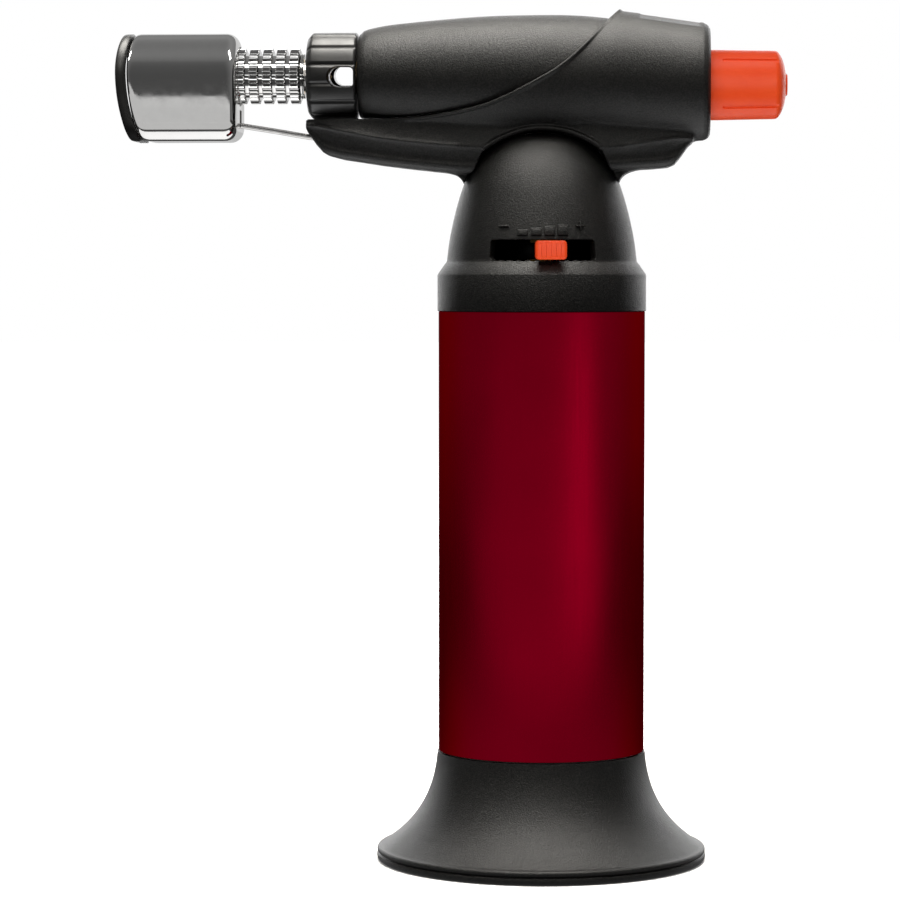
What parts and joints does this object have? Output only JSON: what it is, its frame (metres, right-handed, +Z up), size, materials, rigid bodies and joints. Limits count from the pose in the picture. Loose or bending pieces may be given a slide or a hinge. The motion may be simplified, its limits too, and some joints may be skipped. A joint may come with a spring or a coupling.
{
  "type": "butane torch",
  "caption": "Hand-held butane torch with a chrome flame shield, air ring, piezo push button, flame lever, round fuel tank and flared base that it stands on.",
  "frame": {"origin": "on the surface that the flared base stands on, in the middle of the torch's length and width; the tank axis is 19.7 mm towards +X", "axes": "+Z up along the tank; the burner points along -X and the push button along +X; the flame lever's slot faces -Y"},
  "size_m": [0.1464, 0.0726, 0.1866],
  "materials": {
    "black_textured_plastic": "fine sand-textured matte moulding",
    "black_satin_plastic": "satin black moulding",
    "orange_plastic": "satin orange moulding",
    "red_anodised_aluminium": "satin crimson anodised tube",
    "chrome_plate": "bright chrome plate",
    "bright_steel": "bright drawn steel",
    "brass": "machined brass",
    "ceramic": "fired white ceramic",
    "rubber": "black rubber",
    "tank_plastic": "natural acetal moulding",
    "ivory_plastic": "ivory moulding"
  },
  "bodies": {
    "torch_body": {"base_skirt": "black_textured_plastic", "tank_sleeve": "red_anodised_aluminium", "fuel_tank": "tank_plastic", "fill_valve_body": "brass", "fill_valve_seal": "rubber", "fill_valve_spring": "bright_steel", "valve_body": "brass", "valve_seal": "rubber", "valve_spring": "bright_steel", "tank_seal": "rubber", "pickup_tube": "ivory_plastic", "valve_lock_nut": "brass", "neck_cover": "black_textured_plastic", "nose_barrel": "black_textured_plastic", "housing_left": "black_textured_plastic", "housing_right": "black_textured_plastic", "housing_screw_1": "bright_steel", "housing_screw_2": "bright_steel", "housing_screw_3": "bright_steel", "housing_screw_4": "bright_steel", "nozzle_shield": "chrome_plate", "shield_front_ring": "black_satin_plastic", "burner_tube": "bright_steel", "flame_holder": "ceramic", "burner_barrel": "chrome_plate", "barrel_washer_1": "chrome_plate", "barrel_washer_2": "chrome_plate", "mixer_tube": "brass", "gas_jet": "brass", "jet_holder": "brass", "electrode_rod": "bright_steel", "electrode_insulator": "ceramic", "ignition_cable": "rubber", "gas_hose": "ivory_plastic", "piezo_body": "ivory_plastic", "button_spring": "bright_steel", "lever_pin": "bright_steel"},
    "button": {"ignition_button": "orange_plastic", "piezo_plunger": "ivory_plastic"},
    "release_lever": {"release_lever": "bright_steel"},
    "valve_stem": {"valve_stem": "brass"},
    "flame_lever": {"flame_lever": "black_satin_plastic", "lever_tab": "orange_plastic"},
    "air_ring": {"air_ring": "black_satin_plastic"},
    "fill_valve_stem": {"fill_valve_stem": "brass"}
  },
  "joints": [
    {"name": "button_slide", "type": "slide", "parent": "torch_body", "child": "button", "axis": [-1, 0, 0], "range_m": [0, 0.007], "stiffness_N_per_m": 900, "springref_m": -0.004, "deforming": ["button_spring"]},
    {"name": "release_lever_turn", "type": "hinge", "parent": "torch_body", "child": "release_lever", "pos_m": [0.0097, 0, 0.1614], "axis": [0, -1, 0], "range_deg": [0, 6.1]},
    {"name": "valve_stem_lift", "type": "slide", "parent": "torch_body", "child": "valve_stem", "axis": [0, 0, 1], "range_m": [0, 0.0011], "deforming": ["valve_spring"]},
    {"name": "flame_lever_turn", "type": "hinge", "parent": "torch_body", "child": "flame_lever", "pos_m": [0.0197, 0, 0.134], "axis": [0, 0, 1], "range_deg": [-30, 21]},
    {"name": "air_ring_turn", "type": "hinge", "parent": "torch_body", "child": "air_ring", "pos_m": [-0.0263, 0, 0.1725], "axis": [1, 0, 0], "range_deg": [0, 60]},
    {"name": "fill_valve_push", "type": "slide", "parent": "torch_body", "child": "fill_valve_stem", "axis": [0, 0, 1], "range_m": [0, 0.0015], "stiffness_N_per_m": 900, "springref_m": -0.002, "deforming": ["fill_valve_spring"]}
  ],
  "couplings": [
    {"joint": "release_lever_turn", "follows": "button_slide", "rad_per_m": 14.96},
    {"joint": "valve_stem_lift", "follows": "button_slide", "ratio": 0.1496}
  ]
}
